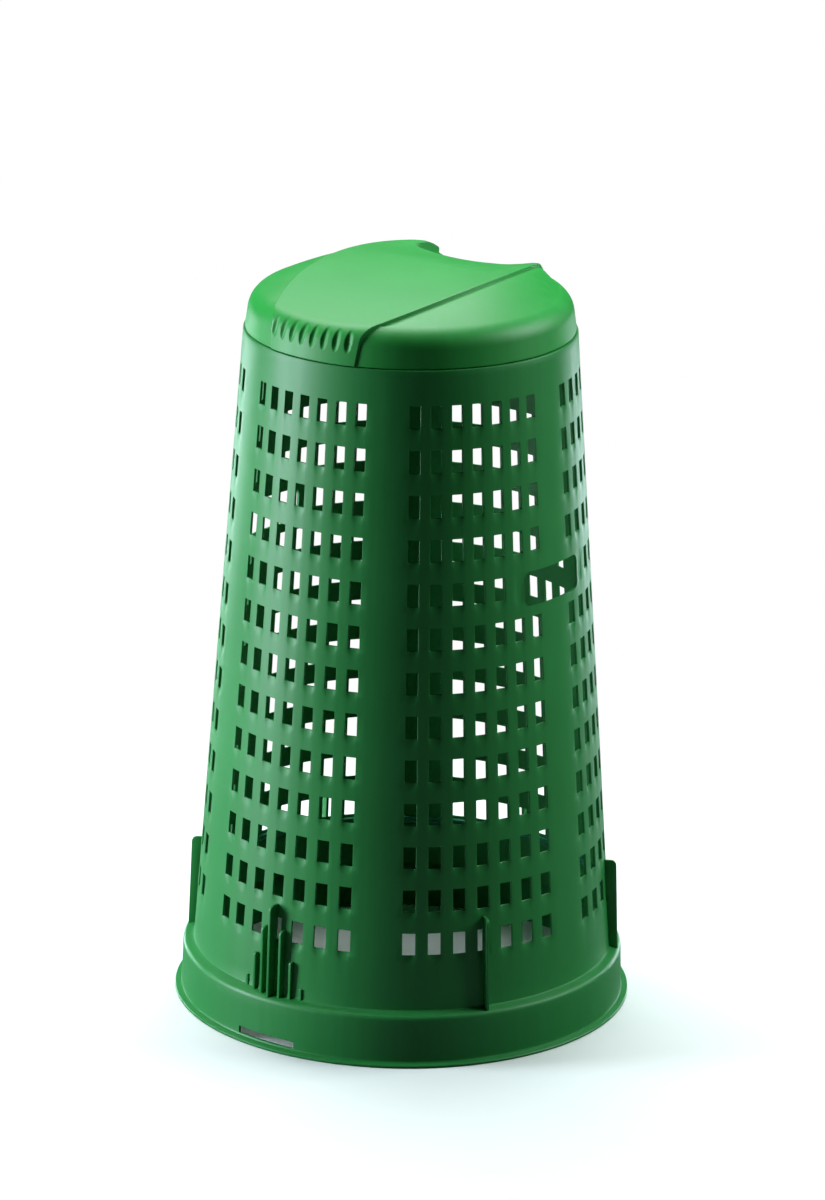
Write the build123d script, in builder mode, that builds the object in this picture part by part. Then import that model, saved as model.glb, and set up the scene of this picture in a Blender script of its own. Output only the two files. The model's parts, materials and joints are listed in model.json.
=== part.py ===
from build123d import *
import os
from math import asin, cos, degrees, radians, sin, sqrt

os.makedirs("parts", exist_ok=True)

# Garden sack holder: a bottomless perforated cone that stands on a wide ring foot,
# a domed lid hinged at the back, and a loose hoop that grips the sack's hem inside.
# Millimetres. +Z up, the origin on the floor at the centre of the foot.
# The front (step ribs and slot) faces -Y, the lid's hinge is at +Y.

# ---- Driving dimensions --------------------------------------------------------
wall = 2.8                  # moulded wall, everywhere
body_height = 750.0         # floor to the shoulder that the lid closes on
lip_radius = 250.0          # outer edge of the floor lip
lip_width = 7.3             # how far the lip stands out of the foot wall
lip_thickness = 4.5
lip_fall = 1.5              # the lip's top slopes down this much to its edge
foot_flare = 1.5            # the foot wall leans out this much towards the floor
ledge_height = 57.0         # top of the ledge that runs round the cone's foot
ledge_edge = 5.0            # rounding of the ledge's outer corner
cone_foot_radius = 229.3    # cone, outside, at the ledge
cone_top_radius = 178.6     # cone, outside, at the shoulder

rows = 13
groups = 6
columns = 7
first_row = 131.0           # middle of the lowest row of holes
last_row = 700.5            # middle of the highest row
hole_height = 24.4
hole_angle = 3.56           # degrees of arc that a hole is wide
column_angle = 7.02         # degrees of arc from one column to the next

grip_height = 505.0         # middle of the two hand grips
grip_width = 95.0
grip_tall = 38.0
grip_corner = 7.0

rib_thickness = 3.0
rib_top = 158.0             # height that the tall ribs reach
rib_setback = 2.7           # outer edge of a rib inside the ledge's, at the ledge
rib_lean = 3.5              # how far that edge leans in on the way up
rib_corner = 6.0
step_rib_pitch = 12.1       # ribs of the front cluster
step_rib_tops = [158.0, 131.5, 98.5, 69.5]       # from the middle rib outwards
step_rib_setbacks = [0.0, 3.7, 6.9, 11.4]        # the same ribs' outer edges

slot_width = 75.0
slot_bottom = 6.4
slot_top = 13.8

collar_height = 15.0        # collar inside the lid, above the shoulder
lid_gap = 0.5               # side clearance between the collar and the lid
lid_seat_gap = 0.8          # lid's edge above the shoulder

lid_setback = 1.7           # lid's lower edge inside the shoulder's
lid_draft = 0.14            # the lid's skirt leans in this much per millimetre
lid_skirt = 28.0            # height of the straight skirt
dome_radius = 400.0         # side panels
dome_height = 73.0          # crown of the side panels above the lid's edge
band_radius = 640.0         # raised middle band, curved front to back
band_height = 65.7          # crown of the band above the lid's edge
band_crown_y = 25.0
band_half = 101.0           # half the band's width at the middle
band_side_radius = 340.0    # its curved sides, in plan
band_proud = 1.5            # the band's skirt stands this far outside the side panels
band_shoulder = [(17.0, 14.0), (34.0, 27.0)]    # its shoulder, in from the skirt and up from it
panel_shoulder = 5.0        # the side panels' shoulder, in from the skirt's top
panel_shoulder_rise = 1.8   # and how far it stands over the dome's line there

niche_half = 70.0           # hinge niche at the back of the lid
niche_depth = 79.9          # from the lid's edge to the niche's front
niche_bow = 16.0
niche_floor = 24.0          # its floor above the lid's edge

hinge_inset = 13.9          # hinge axis inside the lid's edge
hinge_rise = 10.0           # hinge axis above the shoulder
hinge_barrel = 7.0
pin_radius = 3.0
pin_clearance = 0.08
pin_head_radius = 5.0
pin_head = 2.0
lug_inner = 18.0            # the body's two lugs, measured from the middle
lug_width = 16.0
side_clearance = 0.4
boss_width = 11.0
boss_lean = 6.0             # the boss's web leans forward to the niche floor
lug_setback = 2.0           # the lug's web stands this far ahead of the hinge axis
skirt_opening = 12.0        # the skirt is open from this far ahead of the hinge axis
floor_overhang = 2.0        # the niche floor ends this far behind the axis
niche_ledge = 2.0           # ledge left at each side of that opening

hoop_height = 8.0
hoop_thickness = 5.0
hoop_clearance = 0.5
hoop_below_row = 3.0        # hoop's top below the lowest holes

reach = 100.0               # cutters run this far past what they cut

# ---- Sizes that follow ---------------------------------------------------------
slope = (cone_foot_radius - cone_top_radius) / (body_height - ledge_height)
row_pitch = (last_row - first_row) / (rows - 1)
foot_wall_radius = lip_radius - lip_width
foot_top_radius = foot_wall_radius - foot_flare
rib_base_radius = foot_top_radius - rib_setback
lid_radius = cone_top_radius - lid_setback      # outside, at its lower edge
niche_front = lid_radius - niche_depth
hinge_y = lid_radius - hinge_inset
collar_radius = lid_radius - wall - lid_draft * collar_height - lid_gap
lid_edge = body_height + lid_seat_gap
hinge_z = body_height + hinge_rise
lug_outer = lug_inner + lug_width
boss_inner = lug_outer + side_clearance
boss_outer = boss_inner + boss_width
# the collar stops where the lid's skirt no longer swings into it as the lid opens
collar_gap_half = max(niche_half + 2 * wall, sqrt(collar_radius**2 - (hinge_y - 2 * hinge_rise) ** 2))


def cone_radius(z):
    """Outside radius of the cone at a height."""
    return cone_foot_radius - slope * (z - ledge_height)


# ---- Body: one moulding --------------------------------------------------------
grip_row = min(range(rows), key=lambda n: abs(first_row + n * row_pitch - grip_height))
grip_half_angle = degrees(asin(grip_width / 2 / cone_radius(grip_height)))


def row_locations(row):
    """Hole centres of one row; the hand grips take the place of some of them."""
    z = first_row + row * row_pitch
    places = []
    for group in range(groups):
        for column in range(columns):
            angle = group * 360 / groups + (column - (columns - 1) / 2) * column_angle
            from_grip = min(abs(angle % 360 - 90), abs(angle % 360 - 270))
            if row == grip_row and from_grip < grip_half_angle + hole_angle * 1.5:
                continue
            turn = radians(angle - 90)
            radius = cone_radius(z) - wall / 2
            places.append(Location((radius * cos(turn), radius * sin(turn), z), (0, 0, angle - 90)))
    return places


def rib_outline(top, setback):
    """Side view of a rib: X is the radius, Y the height."""
    base = rib_base_radius - setback
    lean = rib_lean * (top - ledge_height) / (rib_top - ledge_height)
    low = ledge_height - wall / 2
    inner_low = cone_radius(ledge_height) - wall / 2
    inner_top = cone_radius(top) - wall / 2
    edge = base - lean
    corner = min(rib_corner, (top - ledge_height) / 3, (edge - cone_radius(top)) * 0.6)
    with BuildLine() as outline:
        Polyline((edge - corner, top), (inner_top, top), (inner_low, low), (base, low), (edge, top - corner))
        RadiusArc((edge, top - corner), (edge - corner, top), corner)
    return outline.line


with BuildPart() as body:
    with BuildSketch(Plane.XZ):
        with BuildLine():
            Polyline(
                (lip_radius, 0),
                (foot_wall_radius - wall, 0),
                (foot_top_radius - wall, ledge_height - wall),
                (cone_radius(ledge_height - wall) - wall, ledge_height - wall),
                (cone_radius(body_height - wall) - wall, body_height - wall),
                (collar_radius - wall, body_height - wall),
                (collar_radius - wall, body_height + collar_height),
                (collar_radius, body_height + collar_height),
                (collar_radius, body_height),
                (cone_top_radius, body_height),
                (cone_foot_radius, ledge_height),
                (foot_top_radius - ledge_edge, ledge_height),
            )
            RadiusArc(
                (foot_top_radius - ledge_edge, ledge_height),
                (foot_top_radius, ledge_height - ledge_edge),
                ledge_edge,
            )
            Polyline(
                (foot_top_radius, ledge_height - ledge_edge),
                (foot_wall_radius, lip_thickness),
                (lip_radius, lip_thickness - lip_fall),
                (lip_radius, 0),
            )
        make_face()
    revolve(axis=Axis.Z)

    # tall ribs round the cone's foot; the front one belongs to the step cluster
    for rib in range(1, groups):
        turn = radians(rib * 360 / groups - 90)
        plane = Plane(origin=(0, 0, 0), x_dir=(cos(turn), sin(turn), 0), z_dir=(sin(turn), -cos(turn), 0))
        with BuildSketch(plane):
            make_face(rib_outline(rib_top, 0))
        extrude(amount=rib_thickness / 2, both=True)
    for step in range(-3, 4):
        shift = step * step_rib_pitch
        plane = Plane(origin=(shift, 0, 0), x_dir=(0, -1, 0), z_dir=(-1, 0, 0))
        with BuildSketch(plane):
            make_face(rib_outline(step_rib_tops[abs(step)], step_rib_setbacks[abs(step)]))
        extrude(amount=rib_thickness / 2, both=True)

    # the collar stops either side of the hinge
    with Locations((0, hinge_y, body_height + collar_height)):
        Box(2 * collar_gap_half, reach, 2 * collar_height, mode=Mode.SUBTRACT)
    # hand grips, right and left
    with BuildSketch(Plane.YZ):
        with Locations((0, grip_height)):
            RectangleRounded(grip_width, grip_tall, grip_corner)
    extrude(amount=lip_radius, both=True, mode=Mode.SUBTRACT)
    # slot low in the foot wall, at the front
    with Locations((0, -foot_wall_radius, (slot_bottom + slot_top) / 2)):
        Box(slot_width, 6 * wall, slot_top - slot_bottom, mode=Mode.SUBTRACT)
    # two hinge lugs on the back of the rim
    rim_back = sqrt((cone_top_radius - wall / 2) ** 2 - lug_outer**2)
    for side in (-1, 1):
        with BuildSketch(Plane.YZ.offset(side * (lug_inner + lug_width / 2))):
            with Locations((hinge_y, hinge_z)):
                Circle(hinge_barrel)
            with BuildLine():
                Polyline(
                    (hinge_y - hinge_barrel, hinge_z),
                    (hinge_y - lug_setback, body_height - wall),
                    (rim_back, body_height - wall),
                    (rim_back, body_height),
                    (hinge_y + hinge_barrel, hinge_z),
                    close=True,
                )
            make_face()
            with Locations((hinge_y, hinge_z)):
                Circle(pin_radius + pin_clearance, mode=Mode.SUBTRACT)
        extrude(amount=lug_width / 2, both=True)

    # holes, all in one cut
    hole_cutters = []
    for row in range(rows):
        hole_width = 2 * cone_radius(first_row + row * row_pitch) * sin(radians(hole_angle / 2))
        with BuildPart(mode=Mode.PRIVATE) as hole:
            Box(8 * wall, hole_width, hole_height)
        hole_cutters += [hole.part.moved(place) for place in row_locations(row)]
    add(hole_cutters, mode=Mode.SUBTRACT, clean=False)
body.part.label = "body"


# ---- Lid: one moulding ---------------------------------------------------------
def lid_form(inset, lengthen):
    """Solid of the lid's outside (inset 0) or of the space in it (inset wall)."""
    edge = lid_edge - lengthen
    skirt_top = lid_edge + lid_skirt - inset / 2
    radius = lid_radius - inset
    top_radius = radius - lid_draft * lid_skirt
    crown = lid_edge + dome_height - inset
    rim = crown - top_radius**2 / (2 * dome_radius)
    mid_radius = top_radius / 2
    with BuildPart() as side_panels:
        with BuildSketch(Plane.XZ):
            with BuildLine():
                Polyline(
                    (0, crown), (0, edge), (radius + lid_draft * lengthen, edge), (top_radius, skirt_top),
                )
                shoulder = (top_radius - panel_shoulder, rim + panel_shoulder_rise)
                Line((top_radius, skirt_top), shoulder)
                ThreePointArc(
                    shoulder,
                    (mid_radius, crown - mid_radius**2 / (2 * dome_radius)),
                    (0, crown),
                )
            make_face()
        revolve(axis=Axis.Z)
    with BuildPart() as middle_band:
        outer = radius + band_proud
        with BuildSketch(Plane.XZ):
            with BuildLine():
                Polyline(
                    (0, crown + reach),
                    (0, edge),
                    (outer + lid_draft * lengthen, edge),
                    (outer - lid_draft * lid_skirt, skirt_top),
                    *[(outer - inward, skirt_top + up) for inward, up in band_shoulder],
                    (outer - lid_skirt - 2 * band_shoulder[0][0], crown + reach),
                    (0, crown + reach),
                )
            make_face()
        revolve(axis=Axis.Z)
        crown_z = lid_edge + band_height - inset
        with BuildSketch(Plane.YZ):
            with Locations((band_crown_y, crown_z - band_radius)):
                Circle(band_radius)
        extrude(amount=lid_radius, both=True, mode=Mode.INTERSECT)
    lens_shift = band_half - inset - band_side_radius
    with BuildPart() as lens:
        with BuildSketch(Plane.XY.offset(edge - 1)):
            with Locations((lens_shift, 0)):
                Circle(band_side_radius)
            with Locations((-lens_shift, 0)):
                Circle(band_side_radius, mode=Mode.INTERSECT)
        extrude(amount=2 * reach)
    return (side_panels.part - lens.part) + (middle_band.part & lens.part)


def niche_form(grow):
    """Hinge niche at the back of the lid, or that space plus its wall."""
    half = niche_half + grow
    front = niche_front - grow
    with BuildPart() as niche:
        with BuildSketch(Plane.XY.offset(lid_edge + niche_floor - grow)):
            with BuildLine():
                Polyline(
                    (half, front + niche_bow), (half, lid_radius + reach), (-half, lid_radius + reach),
                    (-half, front + niche_bow),
                )
                ThreePointArc((-half, front + niche_bow), (0, front), (half, front + niche_bow))
            make_face()
        extrude(amount=reach)
    return niche.part


lid_outside = lid_form(0, 0)
lid_inside = lid_form(wall, 4 * wall) - niche_form(wall)
with BuildPart() as lid:
    add(lid_outside)
    add(niche_form(0), mode=Mode.SUBTRACT)
    add(lid_inside, mode=Mode.SUBTRACT)
    # the back of the skirt is open round the hinge, and the niche floor ends over it
    open_half = niche_half - niche_ledge
    with Locations((0, hinge_y - skirt_opening + reach / 2, lid_edge)):
        Box(2 * open_half, reach, 2 * (niche_floor - wall), mode=Mode.SUBTRACT)
    with Locations((0, hinge_y + floor_overhang + reach / 2, lid_edge + niche_floor)):
        Box(2 * open_half, reach, 4 * wall, mode=Mode.SUBTRACT)
    # two bosses under the niche floor hold the pins
    for side in (-1, 1):
        with BuildSketch(Plane.YZ.offset(side * (boss_inner + boss_width / 2))):
            with Locations((hinge_y, hinge_z)):
                Circle(hinge_barrel)
            with BuildLine():
                floor_z = lid_edge + niche_floor - wall / 2
                Polyline(
                    (hinge_y - hinge_barrel, hinge_z),
                    (hinge_y - hinge_barrel - boss_lean, floor_z),
                    (hinge_y + floor_overhang / 2, floor_z),
                    (hinge_y + hinge_barrel, hinge_z),
                    close=True,
                )
            make_face()
            with Locations((hinge_y, hinge_z)):
                Circle(pin_radius + pin_clearance, mode=Mode.SUBTRACT)
        extrude(amount=boss_width / 2, both=True)
lid.part.label = "lid"


# ---- Hinge pins ----------------------------------------------------------------
def hinge_pin(side):
    """Headed pin pushed through a lid boss into a body lug from outside."""
    with BuildPart() as pin:
        with BuildSketch(Plane.YZ.offset(side * lug_inner)):
            with Locations((hinge_y, hinge_z)):
                Circle(pin_radius)
        extrude(amount=side * (boss_outer + side_clearance / 2 - lug_inner))
        with BuildSketch(Plane.YZ.offset(side * (boss_outer + side_clearance / 2))):
            with Locations((hinge_y, hinge_z)):
                Circle(pin_head_radius)
        extrude(amount=side * pin_head)
    return pin


hinge_pin_right = hinge_pin(1)
hinge_pin_right.part.label = "hinge_pin_right"
hinge_pin_left = hinge_pin(-1)
hinge_pin_left.part.label = "hinge_pin_left"


# ---- Hoop ----------------------------------------------------------------------
hoop_top = first_row - hole_height / 2 - hoop_below_row
hoop_bottom = hoop_top - hoop_height
with BuildPart() as sack_hoop:
    with BuildSketch(Plane.XZ):
        with BuildLine():
            outer_top = cone_radius(hoop_top) - wall - hoop_clearance
            outer_bottom = cone_radius(hoop_bottom) - wall - hoop_clearance
            Polyline(
                (outer_top - hoop_thickness, hoop_top),
                (outer_bottom - hoop_thickness, hoop_bottom),
                (outer_bottom, hoop_bottom),
                (outer_top, hoop_top),
                close=True,
            )
        make_face()
    revolve(axis=Axis.Z)
sack_hoop.part.label = "sack_hoop"

for piece in (body, lid, hinge_pin_right, hinge_pin_left, sack_hoop):
    export_step(piece.part, f"parts/{piece.part.label}.step")
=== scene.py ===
import json
import math
import bmesh
import bpy
import numpy as np
from mathutils import Matrix, Vector


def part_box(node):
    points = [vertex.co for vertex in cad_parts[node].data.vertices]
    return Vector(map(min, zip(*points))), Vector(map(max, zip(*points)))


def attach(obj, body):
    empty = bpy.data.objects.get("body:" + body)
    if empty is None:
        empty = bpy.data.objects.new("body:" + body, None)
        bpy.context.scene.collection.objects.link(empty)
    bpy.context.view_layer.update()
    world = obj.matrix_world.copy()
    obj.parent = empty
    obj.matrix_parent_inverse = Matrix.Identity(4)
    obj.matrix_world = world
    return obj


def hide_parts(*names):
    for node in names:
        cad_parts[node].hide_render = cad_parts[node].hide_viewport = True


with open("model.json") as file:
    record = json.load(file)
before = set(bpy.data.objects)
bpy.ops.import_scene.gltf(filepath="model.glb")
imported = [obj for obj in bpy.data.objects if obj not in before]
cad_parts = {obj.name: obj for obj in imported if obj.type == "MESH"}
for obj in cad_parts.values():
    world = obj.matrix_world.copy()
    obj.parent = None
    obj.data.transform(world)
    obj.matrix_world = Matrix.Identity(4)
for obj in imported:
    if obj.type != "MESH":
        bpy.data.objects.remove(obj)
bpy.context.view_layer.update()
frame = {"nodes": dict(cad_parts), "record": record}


# ---- Cone body -------------------------------------------------------------------
# One polypropylene moulding that stands on the ground with the sack inside it. It
# has a wide ring foot, thirteen rows of square air holes, a hand grip each side,
# ribs that stiffen the foot, and a collar and two lugs at the rim for the lid.
wall = 2.8
ledge = 57.0
hole_tall = 24.4
hole_half_turn = 1.78       # degrees round the cone
column_turn = 7.02
row_pitch = 47.458
row_middles = [131.0 + row * row_pitch for row in range(13)]
bar_tall = 23.1             # wall between one row and the next
grip_row = 8                # the grips take the middle of this row
grip_half_turn = 19.5
slot_half_turn = 8.8


def cone_radius(z):
    """Outside radius of the cone at a height, in millimetres."""
    return 229.3 - 0.07316 * (z - ledge)


def piece_from(name, points, faces):
    """A mesh object from points in millimetres."""
    mesh = bpy.data.meshes.new(name)
    mesh.from_pydata((np.array(points, float) * 0.001).tolist(), [], faces)
    work = bmesh.new()
    work.from_mesh(mesh)
    bmesh.ops.remove_doubles(work, verts=work.verts, dist=0.00001)
    bmesh.ops.recalc_face_normals(work, faces=work.faces)
    work.to_mesh(mesh)
    work.free()
    made = bpy.data.objects.new(name, mesh)
    bpy.context.collection.objects.link(made)
    return made


# lines round the cone: seven across each hole, two in each bar, five in a blank strip
turns, across = [], []
for group in range(6):
    for column in range(-3, 4):
        middle = 60 * group + column * column_turn
        turns += [middle + hole_half_turn * share for share in (-1, -0.8, -0.4, 0, 0.4, 0.8, 1)]
        across += [-1, -0.8, -0.4, 0, 0.4, 0.8, 1]
        right = middle + hole_half_turn
        free = column_turn - 2 * hole_half_turn if column < 3 else 60 - 6 * column_turn - 2 * hole_half_turn
        inner = 3 if column < 3 else 6
        turns += [right + free * n / inner for n in range(1, inner)]
        across += [9] * (inner - 1)
turns, across = np.array(turns), np.array(across, float)

# stations up the wall: outer radius and height, inner radius and height
stations = [
    (249.2, 0.0, 239.9, 0.0), (250.0, 0.8, 239.9, 0.8), (250.0, 2.3, 239.9, 2.3),
    (249.3, 3.1, 239.8, 3.1), (244.2, 4.2, 239.8, 4.2), (243.1, 4.7, 239.8, 4.7),
    (242.6, 5.6, 239.7, 5.6), (242.5, 6.4, 239.7, 6.4), (242.3, 13.8, 239.5, 13.8),
    (241.9, 26.0, 239.1, 26.0), (241.5, 40.0, 238.7, 38.0), (241.3, 50.5, 238.5, 48.0),
    (240.9, 52.6, 238.2, 50.0), (239.9, 54.3, 237.4, 51.8), (238.3, 55.5, 236.4, 52.8),
    (236.2, 56.2, 235.0, 53.4), (233.0, 57.0, 232.0, 54.2), (230.6, 57.7, 228.5, 54.6),
    (229.4, 58.6, 227.2, 55.4), (229.0, 60.0, 226.5, 57.0),
]
first_cone_station = len(stations)
heights = [75.0, 90.0, 104.0]
for middle in row_middles:
    bottom = middle - hole_tall / 2
    heights += [bottom - drop for drop in (10.0, 8.5, 6.5, 4.5, 2.2, 0.0)]
    heights += [bottom + hole_tall, bottom + hole_tall + 5.5]
heights += [730.0, 742.0]
stations += [(cone_radius(z), z, cone_radius(z) - wall, z) for z in heights]
stations += [
    (178.75, 748.6, 175.9, 746.6), (178.3, 749.7, 175.4, 747.2),
    (177.4, 750.0, 174.6, 747.2), (168.7, 750.0, 168.7, 747.2),
]
stations = np.array(stations)

# a shallow scoop leads down from the sill of every hole, and the wall dishes between rows
outer = np.repeat(stations[:, 0][:, None], len(turns), axis=1)
for middle in row_middles:
    low = (750 - middle) / 700
    for n, z in enumerate(stations[:, 1]):
        below = middle - hole_tall / 2 - z
        if n < first_cone_station or not -0.01 <= below < bar_tall:
            continue
        inside = np.clip(1 - np.abs(across) ** 4, 0, 1)
        reach = 9.8 * np.sqrt(np.clip(1 - np.abs(across) ** 2.5, 0, 1)) + 0.001
        outer[n] -= (0.75 + 0.8 * low) * inside * np.clip(1 - below / reach, 0, 1)
        outer[n] -= 0.22 * np.clip(1 - across**2, 0, 1) * math.sin(math.pi * below / bar_tall)

solid = np.ones((len(stations) - 1, len(turns)), bool)
holed = (np.abs(across) <= 1) & (np.abs(np.roll(across, -1)) <= 1) & (across < 1)
for row, middle in enumerate(row_middles):
    level = int(np.argmin(np.abs(stations[:, 1] - (middle - hole_tall / 2))))
    for n in np.flatnonzero(holed):
        centre = turns[n] % 180
        if row != grip_row or abs(centre - 90) > grip_half_turn:
            solid[level, n] = False
slot_level = 7              # the slot in the foot lies between this station and the next
for n, turn in enumerate(turns):
    if abs((turn + hole_half_turn / 9 + 180) % 360 - 180) < slot_half_turn:
        solid[slot_level, n] = False

around = np.radians(turns)
points = []
inner_wall = np.repeat(stations[:, 2][:, None], len(turns), axis=1)
for radii, levels in ((outer, stations[:, 1]), (inner_wall, stations[:, 3])):
    level_z = np.repeat(levels[:, None], len(turns), axis=1)
    points.append(np.stack([radii * np.sin(around), -radii * np.cos(around), level_z], axis=-1))
count, per = len(stations), len(turns)


def outside(level, n):
    return level * per + n % per


def inside_of(level, n):
    return count * per + level * per + n % per


faces = []
for level in range(count - 1):
    for n in range(per):
        here = solid[level, n]
        out, out_next = outside(level, n), outside(level, n + 1)
        over_out, over_out_next = outside(level + 1, n), outside(level + 1, n + 1)
        back_of, back_next = inside_of(level, n), inside_of(level, n + 1)
        over_back, over_back_next = inside_of(level + 1, n), inside_of(level + 1, n + 1)
        if here:
            faces.append((out, out_next, over_out_next, over_out))
            faces.append((back_of, over_back, over_back_next, back_next))
        if here != solid[level, (n + 1) % per]:
            faces.append((out_next, over_out_next, over_back_next, back_next))
        if level == 0 or here != solid[level - 1, n]:
            faces.append((out, out_next, back_next, back_of))
        if level == count - 2:
            faces.append((over_out, over_out_next, over_back_next, over_back))
body = piece_from("cone_body", np.concatenate([p.reshape(-1, 3) for p in points]), faces)


def soften(piece, width, sharper_than=50, steps=1):
    """Rounds every edge of the piece that is sharper than an angle, as a mould's edges are."""
    work = bmesh.new()
    work.from_mesh(piece.data)
    edges = [e for e in work.edges if len(e.link_faces) == 2]
    edges = [e for e in edges if math.degrees(e.calc_face_angle(0)) > sharper_than]
    bmesh.ops.bevel(work, geom=edges, offset=width * 0.001, segments=steps, profile=0.5,
                    affect="EDGES", clamp_overlap=False)
    work.to_mesh(piece.data)
    work.free()


def plate(name, outline, start, end, turn=0.0):
    """A flat web: its outline in Y and Z, from start to end along X, then turned about the upright axis."""
    c, s = math.cos(math.radians(turn)), math.sin(math.radians(turn))
    points = [(x * c - y * s, x * s + y * c, z) for x in (start, end) for y, z in outline]
    n = len(outline)
    sides = [(k, (k + 1) % n, n + (k + 1) % n, n + k) for k in range(n)]
    return piece_from(name, points, [tuple(range(n)), tuple(range(2 * n - 1, n - 1, -1))] + sides)


def shape(piece, tool, operation="DIFFERENCE"):
    """Cuts the tool out of the piece, or joins it on, and drops the tool."""
    change = piece.modifiers.new("shape", "BOOLEAN")
    change.object, change.operation, change.solver = tool, operation, "MANIFOLD"
    bpy.context.view_layer.update()
    result = bpy.data.meshes.new_from_object(piece.evaluated_get(bpy.context.evaluated_depsgraph_get()))
    piece.modifiers.clear()
    piece.data = result
    bpy.data.objects.remove(tool)


def join(piece, others):
    """Adds the other meshes to the piece, as parts of the same moulding."""
    work = bmesh.new()
    work.from_mesh(piece.data)
    for other in others:
        work.from_mesh(other.data)
        bpy.data.objects.remove(other)
    work.to_mesh(piece.data)
    work.free()


soften(body, 0.4, sharper_than=55)


def rounded_box(half_y, half_z, corner, middle_y, middle_z):
    """Outline of a rounded rectangle in Y and Z."""
    spots = []
    for start, sy, sz in ((0, 1, 1), (90, -1, 1), (180, -1, -1), (270, 1, -1)):
        centre_y, centre_z = middle_y + sy * (half_y - corner), middle_z + sz * (half_z - corner)
        spots += arc_about(centre_y, centre_z, corner, start + 15 * np.arange(7))
    return spots


def arc_about(y, z, radius, degrees):
    """Points round a centre in Y and Z."""
    return [(y + radius * math.cos(a), z + radius * math.sin(a)) for a in np.radians(degrees)]


grip_half_wide, grip_half_tall, grip_corner, grip_height = 47.5, 19.0, 9.0, 505.0
grip_outline = rounded_box(grip_half_wide, grip_half_tall, grip_corner, 0.0, grip_height)
shape(body, plate("grip_cut", grip_outline, -300, 300))

rib_half = 1.5
rib_sunk = 1.4              # the ribs start inside the wall, halfway through it
rib_tall, rib_taper = 101.0, 3.5
tall_rib = (158.0, 238.5)   # height of the top, radius at the foot
step_ribs = [(158.0, 238.5), (131.5, 234.8), (98.5, 231.6), (69.5, 227.1)]
step_pitch = 12.1
webs = []
for rib, (top, base) in enumerate([tall_rib] * 5 + step_ribs):
    edge = base - rib_taper * (top - ledge) / rib_tall
    corner = min(6.0, (top - ledge) / 3, (edge - cone_radius(top)) * 0.6)
    side_view = [(cone_radius(ledge) - rib_sunk, ledge - rib_sunk), (base, ledge - rib_sunk)]
    side_view += arc_about(edge - corner, top - corner, corner, [0, 18, 36, 54, 72, 90])
    side_view += [(cone_radius(top) - rib_sunk, top)]
    outline = [(-r, z) for r, z in side_view]
    if rib < 5:
        webs.append(plate("rib", outline, -rib_half, rib_half, turn=60 * (rib + 1)))
    else:
        step = rib - 5
        for side in (-1, 1) if step else (1,):
            middle = side * step_pitch * step
            webs.append(plate("rib", outline, middle - rib_half, middle + rib_half))

hinge = Vector(frame["record"]["behaviour"]["joints"][0]["pos_m"]) * 1000
knuckle = 7.0
bore = arc_about(hinge.y, hinge.z, 3.08, np.arange(0, 360, 15))
for side in (-1, 1):
    lug = arc_about(hinge.y, hinge.z, knuckle, np.arange(0, 181, 15))
    lug += [(hinge.y - 2, 747.2), (174.5, 747.2), (174.5, 750.0)]
    lug = plate("lug", lug, *sorted((side * 18.0, side * 34.0)))
    shape(lug, plate("bore", bore, *sorted((side * 10.0, side * 40.0))))
    webs.append(lug)
for web in webs:
    soften(web, 0.45, steps=2)

# the collar stops short of the hinge on each side, clear of the lid's swinging skirt
collar_out, collar_in, collar_low, collar_high = 171.5, 168.7, 748.0, 765.0
collar_gap_half = 94.7
collar_end = math.degrees(math.asin(collar_gap_half / collar_out))
collar_turns = np.radians(np.linspace(180 + collar_end, 540 - collar_end, 181))
profile = [
    (collar_out, collar_low), (collar_out, 764.3), (170.9, collar_high),
    (169.3, collar_high), (collar_in, 764.3), (collar_in, collar_low),
]
ring = [(r * math.sin(a), -r * math.cos(a), z) for a in collar_turns for r, z in profile]
n = len(profile)
strip = []
for k in range(180):
    for i in range(n):
        strip.append((k * n + i, k * n + (i + 1) % n, (k + 1) * n + (i + 1) % n, (k + 1) * n + i))
webs.append(piece_from("collar", ring, strip + [tuple(range(n)), tuple(range(180 * n, 181 * n))]))
join(body, webs)


def linear(code):
    """An sRGB hex colour as the linear colour that a shader takes."""
    parts = [int(code[n:n + 2], 16) / 255 for n in (0, 2, 4)]
    return [c / 12.92 if c <= 0.04045 else ((c + 0.055) / 1.055) ** 2.4 for c in parts] + [1.0]


def add(tree, kind, values={}, links={}, **settings):
    """Adds one node: its settings, the values on its sockets, and the sockets that feed it."""
    node = tree.nodes.new(kind)
    for name, value in settings.items():
        setattr(node, name, value)
    for socket, value in values.items():
        node.inputs[socket].default_value = value
    for socket, source in links.items():
        tree.links.new(source, node.inputs[socket])
    return node


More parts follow.
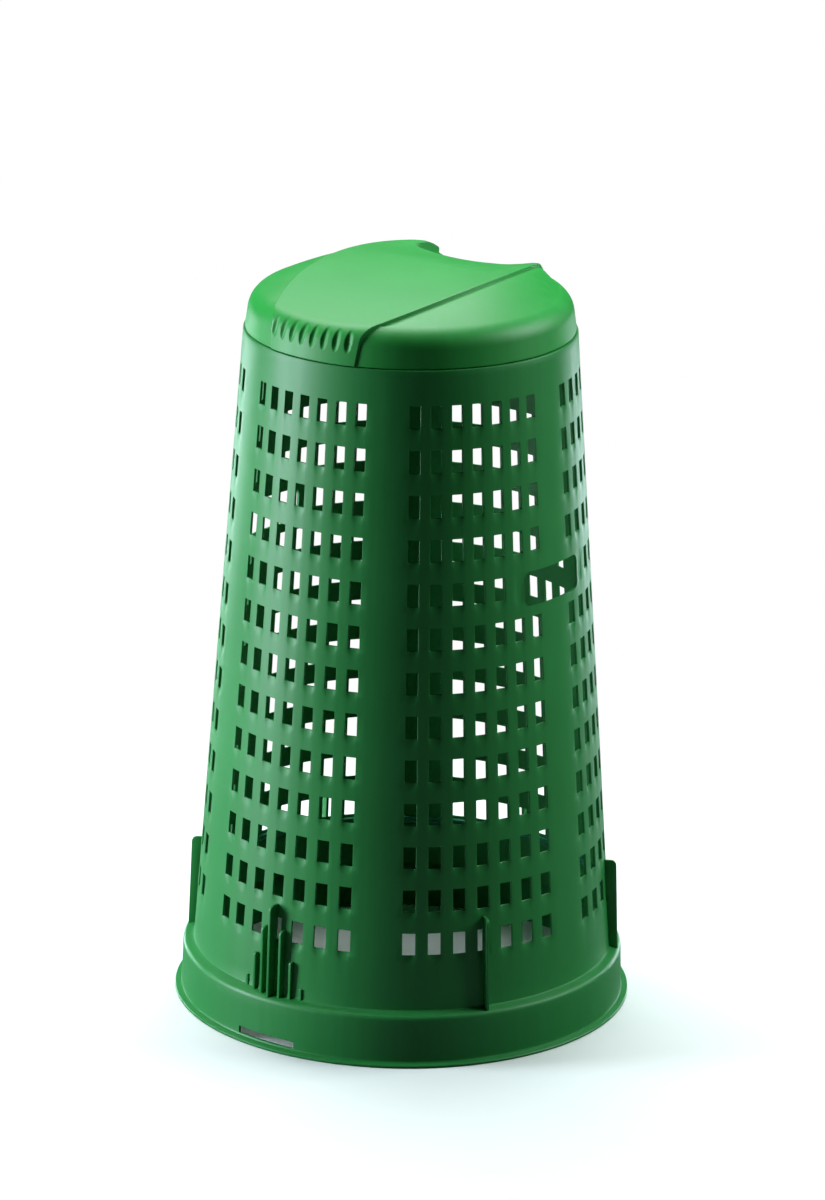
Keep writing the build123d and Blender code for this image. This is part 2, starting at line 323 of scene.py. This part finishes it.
def satin_polypropylene(name, deep, pale, flow_mm, rough):
    """Moulded polypropylene from a spark-eroded mould: an even satin skin with faint flow
    clouds, upright flow lines and a fine grain. The real grain is about 0.2 mm, and it is
    drawn at 1.4 mm so that it shows."""
    made = bpy.data.materials.new(name)
    made.use_nodes = True
    tree = made.node_tree
    tree.nodes.clear()
    place = add(tree, "ShaderNodeTexCoord").outputs["Object"]
    clouds = add(tree, "ShaderNodeTexNoise", {"Scale": 1000 / flow_mm, "Detail": 4.0, "Roughness": 0.55},
                 {"Vector": place})
    drawn = add(tree, "ShaderNodeMapping", {"Scale": (1.0, 1.0, 0.04)}, {"Vector": place})
    lines = add(tree, "ShaderNodeTexNoise", {"Scale": 1000 / 9.0, "Detail": 2.0},
                {"Vector": drawn.outputs["Vector"]})
    both = add(tree, "ShaderNodeMix", {"Factor": 0.35},
               {"A": clouds.outputs["Fac"], "B": lines.outputs["Fac"]})
    colour = add(tree, "ShaderNodeValToRGB", {}, {"Fac": both.outputs["Result"]})
    colour.color_ramp.elements[0].position, colour.color_ramp.elements[0].color = 0.36, linear(deep)
    colour.color_ramp.elements[1].position, colour.color_ramp.elements[1].color = 0.66, linear(pale)
    sheen = add(tree, "ShaderNodeMapRange",
                {"From Min": 0.35, "From Max": 0.65, "To Min": rough - 0.04, "To Max": rough + 0.05},
                {"Value": both.outputs["Result"]})
    grain = add(tree, "ShaderNodeTexNoise", {"Scale": 1000 / 1.4, "Detail": 2.0, "Roughness": 0.6},
                {"Vector": place})
    bump = add(tree, "ShaderNodeBump", {"Strength": 0.10, "Distance": 0.0002},
               {"Height": grain.outputs["Fac"]})
    shader = add(tree, "ShaderNodeBsdfPrincipled", {"IOR": 1.49}, {
        "Base Color": colour.outputs["Color"], "Roughness": sheen.outputs["Result"],
        "Normal": bump.outputs["Normal"]})
    add(tree, "ShaderNodeOutputMaterial", {}, {"Surface": shader.outputs["BSDF"]})
    return made


def dress(piece, skin, body_name, sharp=35):
    """Gives the piece its skin and smooth shading, and puts it on its body."""
    piece.data.materials.clear()
    piece.data.materials.append(skin)
    piece.data.shade_smooth()
    piece.data.set_sharp_from_angle(angle=math.radians(sharp))
    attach(piece, body_name)


body_skin = satin_polypropylene("satin_moulded_polypropylene", "197C34", "1E843A", 160.0, 0.48)
dress(body, body_skin, "body")
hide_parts("body")


# ---- Sack hoop -------------------------------------------------------------------
# A loose polypropylene ring inside the cone, just under the lowest holes. The sack's
# hem is folded over it. Its section is a shallow channel, moulded in one shot.
hoop_low, hoop_high = (1000 * corner[2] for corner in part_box("sack_hoop"))
hoop_out = 1000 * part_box("sack_hoop")[1][0]
section = []
for inward, risen in ((0.2, 0.6), (0.0, 1.2), (0.5, 7.2), (1.0, 7.9), (3.9, 8.0), (4.9, 7.3), (5.0, 5.4),
                      (4.0, 4.6), (4.0, 3.4), (5.0, 2.6), (4.9, 0.7), (4.2, 0.0), (0.9, 0.0)):
    section.append((hoop_out - inward, hoop_low + risen * (hoop_high - hoop_low) / 8.0))
n, steps = len(section), 288
hoop_turns = np.radians(np.arange(0, 360, 360 / steps))
spots = [(r * math.cos(a), r * math.sin(a), z) for a in hoop_turns for r, z in section]
hoop = piece_from("sack_hoop_ring", spots, [
    (k * n + i, k * n + (i + 1) % n, (k + 1) % steps * n + (i + 1) % n, (k + 1) % steps * n + i)
    for k in range(steps) for i in range(n)])
# the hoop is the body's green plastic; the teal cast and lighter tone of its two colours are a painted
# highlight, the cool glint on its glossy top
hoop_skin_painted_teal_sheen = satin_polypropylene("satin_moulded_hoop_polypropylene_teal_painted_highlight", "1F7A55", "2A8A64", 60.0, 0.30)
dress(hoop, hoop_skin_painted_teal_sheen, "hoop", sharp=28)
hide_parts("sack_hoop")


# ---- Lid -------------------------------------------------------------------------
# One polypropylene moulding: a low dome with a raised band across its middle, eight
# finger flutes at the front, and a niche at the back where it hinges on the body.
lid_edge = 1000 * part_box("lid")[0][2]
lid_rim = 176.9
draft = 0.14                # the skirt widens this much for each millimetre down
rim_reach = 158.0           # the top runs out to here, where the shoulder starts
step_tall = 4.2             # the band stands this far above the side panels


crown, crown_y = 816.5, 25.0
saddle_deep, saddle_half = 5.0, 82.0
panel_crown = 823.0


def band_half(y, inset):
    """Half the band's width: its sides are long arcs in plan."""
    return math.sqrt(340.0**2 - y * y) - 239.0 - inset


def meets_circle(share, radius, end, inset):
    """Where a line across the band, at a share of its half width, meets a circle round the axis."""
    y = end * radius
    for _ in range(30):
        y = end * math.sqrt(radius**2 - (share * band_half(y, inset)) ** 2)
    return share * band_half(y, inset), y


def band_top(x, y):
    """Height of the band: it sinks to the niche in a saddle and rolls off at the back corners."""
    z = crown - (y - crown_y) ** 2 / 1280.0
    ease = min(max((y - crown_y) / 60.0, 0.0), 1.0)
    z -= saddle_deep * ease * ease * (3 - 2 * ease) * max(0.0, 1 - (x / saddle_half) ** 2)
    return z - 0.073 * max(0.0, y - 122.0) ** 1.5


def panel_rim(x, y):
    """Height of the side panels where they meet the shoulder."""
    return panel_crown - (x * x + y * y) / 800.0


def rim_run(top, x, y, rim, bottom):
    """Points from the top's edge over the shoulder and down the skirt, for one direction."""
    reach = math.hypot(x, y)
    along_x, along_y = x / reach, y / reach
    z = top(x, y)
    fall = top(x, y) - top(x - along_x, y - along_y)
    corner = (rim + draft * (lid_edge - z + fall * reach)) / (1 + draft * fall)
    corner_z = z + fall * (corner - reach)
    span = math.hypot(corner - reach, corner_z - z)
    down = math.hypot(draft, 1)
    end = (corner + draft / down * span, corner_z - span / down)
    turn = math.acos((draft - fall) / math.hypot(1, fall) / down)
    weight = math.cos(turn / 2)
    run = []
    for step in range(1, 13):
        t = step / 12
        a, b, c = (1 - t) ** 2, 2 * weight * t * (1 - t), t * t
        radius = (a * reach + b * corner + c * end[0]) / (a + b + c)
        run.append((radius, (a * z + b * corner_z + c * end[1]) / (a + b + c)))
    for step in range(1, 23):
        level = end[1] + (bottom - end[1]) * step / 22
        run.append((rim - draft * (level - lid_edge), level))
    return run


flutes = [-17.2 + 4.657 * n for n in range(8)]      # degrees from the front
flute_deep, flute_half_wide, flute_half_tall, flute_height = 2.5, 4.2, 11.5, 775.5
flute_lean = 0.8
flute_radius = 175.0


def flute_depth(turn, z):
    """Depth of the finger flutes: leaning ovals pressed into the front of the band."""
    best = 0.0
    for middle in flutes:
        risen = (z - flute_height) / flute_half_tall
        aside = (turn - middle) * math.pi / 180 * flute_radius
        aside -= flute_lean * (z - flute_height) / flute_half_tall
        best = max(best, flute_deep * (1 - (aside / flute_half_wide) ** 2 - risen**2))
    return best


def lid_form(name, inset, bottom):
    """The lid's outside as a closed form, or the space under its wall."""
    points, faces = [], []

    def lay(rows):
        first, width = len(points), len(rows[0])
        for row in rows:
            points.extend(row)
        for r in range(len(rows) - 1):
            for k in range(width - 1):
                a = first + r * width + k
                faces.append((a, a + 1, a + width + 1, a + width))

    reach, rim = rim_reach - inset, lid_rim - inset
    band = lambda x, y: band_top(x, y) - inset
    panel = lambda x, y: panel_rim(x, y) - inset
    rows = []
    along = np.linspace(0, 1, 97)
    for share in np.linspace(-1, 1, 161):
        front, back = meets_circle(share, reach, -1, inset), meets_circle(share, reach, 1, inset)
        row = []
        for t in along:
            y = front[1] + t * (back[1] - front[1])
            x = share * band_half(y, inset)
            row.append((x, y, band(x, y)))
        for end, at in ((-1, front), (1, back)):
            run = []
            for radius, level in rim_run(band, at[0], at[1], rim + 1.6, bottom):
                x, y = meets_circle(share, radius, end, inset)
                if end < 0:
                    kept = 1 - flute_depth(math.degrees(math.atan2(x, -y)), level) / radius
                    x, y = x * kept, y * kept
                run.append((x, y, level))
            row = run[::-1] + row if end < 0 else row + run
        rows.append(row)
    lay(rows)
    band_sides = {1: rows[-1], -1: rows[0]}
    tip_x, tip_y = meets_circle(1.0, reach, 1, inset)
    tip_turn = math.degrees(math.atan2(tip_x, tip_y))
    for side in (-1, 1):
        rows = []
        for t in along:
            y = -tip_y + t * 2 * tip_y
            turn = math.radians(tip_turn + t * (180 - 2 * tip_turn))
            inner = (side * band_half(y, inset), y)
            edge = (side * reach * math.sin(turn), -reach * math.cos(turn))
            rise = band(*inner) - step_tall - panel(*edge)
            row = []
            for w in np.linspace(0, 1, 33):
                x, y = (inner[k] + w * (edge[k] - inner[k]) for k in (0, 1))
                row.append((x, y, panel(*edge) + rise * (1 - w**1.35)))
            for radius, level in rim_run(panel, edge[0], edge[1], rim, bottom):
                start = math.degrees(math.atan2(*meets_circle(1.0, radius, 1, inset)))
                angle = math.radians(start + t * (180 - 2 * start))
                row.append((side * radius * math.sin(angle), -radius * math.cos(angle), level))
            rows.append(row)
        lay(rows)
        # the step between the band and the panel, over the top and down both ends
        up_the_back = [rows[0][k] for k in range(len(rows[0]) - 1, 32, -1)]
        lay([band_sides[side], up_the_back + [row[0] for row in rows] + rows[-1][33:]])
    made = piece_from(name, points, faces)
    work = bmesh.new()
    work.from_mesh(made.data)
    bmesh.ops.holes_fill(work, edges=[e for e in work.edges if e.is_boundary], sides=0)
    bmesh.ops.recalc_face_normals(work, faces=work.faces)
    work.to_mesh(made.data)
    work.free()
    return made


def block(name, outline, low, high):
    """An upright prism from an outline in X and Y."""
    n = len(outline)
    points = [(x, y, z) for z in (low, high) for x, y in outline]
    sides = [(k, (k + 1) % n, n + (k + 1) % n, n + k) for k in range(n)]
    return piece_from(name, points, [tuple(range(n)), tuple(range(2 * n - 1, n - 1, -1))] + sides)


niche_half, niche_front, niche_bow = 70.0, 81.0, 5.0
niche_corner_wide, niche_corner_long, niche_corner_y = 20.0, 24.0, 110.0
niche_floor = lid_edge + 24.0


def niche(grow):
    """The hinge niche, or that space with its wall."""
    middle_x, wide, long = niche_half - niche_corner_wide, niche_corner_wide + grow, niche_corner_long + grow
    corner = []
    for a in np.radians([0, 15, 30, 45, 60, 75]):
        corner.append((middle_x + wide * math.cos(a), niche_corner_y - long * math.sin(a)))
    plan = [(niche_half + grow, 230.0), (-niche_half - grow, 230.0)] + [(-x, y) for x, y in corner]
    plan += [(x, niche_front - grow + niche_bow * (x / 45.0) ** 2) for x in np.linspace(-42, 42, 21)]
    return block("niche", plan + corner[::-1], niche_floor - grow, 900.0)


lid = lid_form("hinged_lid", 0.0, lid_edge)
soften(lid, 1.0, sharper_than=42, steps=2)
shape(lid, niche(0.0))
hollow = lid_form("lid_hollow", wall, lid_edge - 10.0)
shape(hollow, niche(wall))
shape(lid, hollow)
# under the niche the skirt is open, and the niche's floor ends just behind the pins
gap_half = 68.0
behind = [(-gap_half, 151.0), (gap_half, 151.0), (gap_half, 260.0), (-gap_half, 260.0)]
shape(lid, block("skirt_gap", behind, 700.0, niche_floor - wall))
behind = [(-gap_half, hinge.y + 2), (gap_half, hinge.y + 2), (gap_half, 260.0), (-gap_half, 260.0)]
shape(lid, block("floor_end", behind, niche_floor - 2 * wall, niche_floor + 6.0))
bosses = []
boss_top = niche_floor - 1.4
for side in (-1, 1):
    boss = arc_about(hinge.y, hinge.z, knuckle, np.arange(180, 361, 15))
    boss += [(hinge.y + 1, boss_top), (hinge.y - 13, boss_top)]
    boss = plate("boss", boss, *sorted((side * 34.4, side * 45.4)))
    shape(boss, plate("bore", bore, *sorted((side * 20.0, side * 60.0))))
    soften(boss, 0.4)
    bosses.append(boss)
join(lid, bosses)

lid_skin = satin_polypropylene("satin_moulded_lid_polypropylene", "198A32", "1F933A", 190.0, 0.50)
dress(lid, lid_skin, "lid")
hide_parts("lid")


# ---- Hinge pins ------------------------------------------------------------------
# Two headed pins of harder plastic, pushed through the lid's bosses into the lugs.
pin_skin = satin_polypropylene("satin_moulded_pin_acetal", "17603A", "1B6A42", 12.0, 0.30)
for name in ("hinge_pin_right", "hinge_pin_left"):
    frame["nodes"][name].data.materials.clear()
    frame["nodes"][name].data.materials.append(pin_skin)


# ---- Studio ----------------------------------------------------------------------
# A white sweep, a tall softbox on the left, a high one on the right, a wide one
# overhead and a low one behind each edge. Nothing is lit in front, so that the cone
# shades from bright edges to a dark middle.
white = bpy.data.materials.new("matt_white_paper")
white.use_nodes = True
white.node_tree.nodes.clear()
fibre = add(white.node_tree, "ShaderNodeTexNoise", {"Scale": 300.0, "Detail": 2.0})
tone = add(white.node_tree, "ShaderNodeMapRange", {"To Min": 0.93, "To Max": 0.96},
           {"Value": fibre.outputs["Fac"]})
looked_at = add(white.node_tree, "ShaderNodeLightPath").outputs["Is Camera Ray"]
paper = add(white.node_tree, "ShaderNodeBsdfDiffuse", {}, {"Color": tone.outputs["Result"]})
# away from the object the sweep burns out to plain white, for the eye and not as a light,
# and it throws little light back up, so that the cone's front stays dark
carpet = add(white.node_tree, "ShaderNodeBsdfDiffuse", {"Color": (0.16, 0.17, 0.18, 1)})
ground = add(white.node_tree, "ShaderNodeMixShader", {},
             {0: looked_at, 1: carpet.outputs["BSDF"], 2: paper.outputs["BSDF"]})
spot = add(white.node_tree, "ShaderNodeTexCoord").outputs["Object"]
away = add(white.node_tree, "ShaderNodeVectorMath", {}, {0: spot}, operation="LENGTH")
burnt = add(white.node_tree, "ShaderNodeMapRange", {"From Min": 0.32, "From Max": 0.9},
            {"Value": away.outputs["Value"]}, interpolation_type="SMOOTHSTEP")
share = add(white.node_tree, "ShaderNodeMath", {}, {0: burnt.outputs["Result"], 1: looked_at},
            operation="MULTIPLY")
glow = add(white.node_tree, "ShaderNodeEmission", {"Color": (1, 1, 1, 1), "Strength": 1.0})
sweep = add(white.node_tree, "ShaderNodeMixShader", {},
            {0: share.outputs["Value"], 1: ground.outputs["Shader"], 2: glow.outputs["Emission"]})
add(white.node_tree, "ShaderNodeOutputMaterial", {}, {"Surface": sweep.outputs["Shader"]})
floor = bpy.data.meshes.new("paper_floor")
floor.from_pydata([(-12, -12, 0), (12, -12, 0), (12, 12, 0), (-12, 12, 0)], [], [(0, 1, 2, 3)])
floor = bpy.data.objects.new("paper_floor", floor)
bpy.context.collection.objects.link(floor)
floor.data.materials.append(white)

azimuth, pitch, roll = (math.radians(a) for a in (37.04, 17.765, 0.85))
toward = Vector((math.sin(azimuth), -math.cos(azimuth), 0))
beside = Vector((math.cos(azimuth), math.sin(azimuth), 0))
up = Vector((0, 0, 1))
back = toward * math.cos(pitch) + up * math.sin(pitch)
over = back.cross(beside)
camera = bpy.data.objects.new("camera", bpy.data.cameras.new("camera"))
bpy.context.collection.objects.link(camera)
x_axis = beside * math.cos(roll) + over * math.sin(roll)
y_axis = over * math.cos(roll) - beside * math.sin(roll)
turned = Matrix((x_axis, y_axis, back)).transposed().to_4x4()
turned.translation = up * 0.4439 + beside * 0.00605 + back * 6.1147
camera.matrix_world = turned
camera.data.lens, camera.data.sensor_width = 169.5, 36.0
bpy.context.scene.camera = camera


def softbox(name, place, aim, width, height, watts, tint=(1, 1, 1), spread=180):
    """A soft area light that points at a spot."""
    lamp = bpy.data.lights.new(name, "AREA")
    lamp.shape, lamp.size, lamp.size_y = "RECTANGLE", width, height
    lamp.energy, lamp.color = watts, tint
    lamp.spread = math.radians(spread)
    made = bpy.data.objects.new(name, lamp)
    made.location = place
    made.rotation_mode = "QUATERNION"
    made.rotation_quaternion = (Vector(place) - Vector(aim)).to_track_quat("Z", "Y")
    bpy.context.collection.objects.link(made)


cool = (0.88, 1.03, 1.12)
softbox("left_softbox", beside * -2.15 + toward * 0.22 + up * 0.6, up * 0.45, 0.6, 1.5, 68, cool)
softbox("left_rim_softbox", beside * -1.4 - toward * 1.8 + up * 0.12, up * 0.04, 0.5, 0.5, 1.9, cool, 50)
softbox("right_rim_softbox", beside * 1.25 - toward * 1.6 + up * 0.12, up * 0.04, 0.5, 0.5, 1.7, cool, 50)
softbox("right_high_softbox", beside * 2.1 - toward * 0.15 + up * 1.7, up * 0.3, 1.2, 1.2, 46,
        (0.86, 1.03, 1.0))
softbox("overhead_softbox", up * 2.7 - beside * 0.2 - toward * 0.8, up * 0.7, 1.8, 1.8, 84,
        (0.94, 1.02, 1.02))

# the surround is plain white to the eye and nearly dark as a light
world = bpy.data.worlds.new("white_surround")
world.use_nodes = True
bpy.context.scene.world = world
world.node_tree.nodes.clear()
rays = add(world.node_tree, "ShaderNodeLightPath")
seen = add(world.node_tree, "ShaderNodeBackground", {"Color": (1, 1, 1, 1), "Strength": 1.0})
dim = add(world.node_tree, "ShaderNodeBackground", {"Color": (0.94, 0.97, 1, 1), "Strength": 0.01})
pick = add(world.node_tree, "ShaderNodeMixShader", {},
           {0: rays.outputs["Is Camera Ray"], 1: dim.outputs[0], 2: seen.outputs[0]})
add(world.node_tree, "ShaderNodeOutputWorld", {}, {"Surface": pick.outputs[0]})
bpy.context.scene.view_settings.view_transform = "Standard"
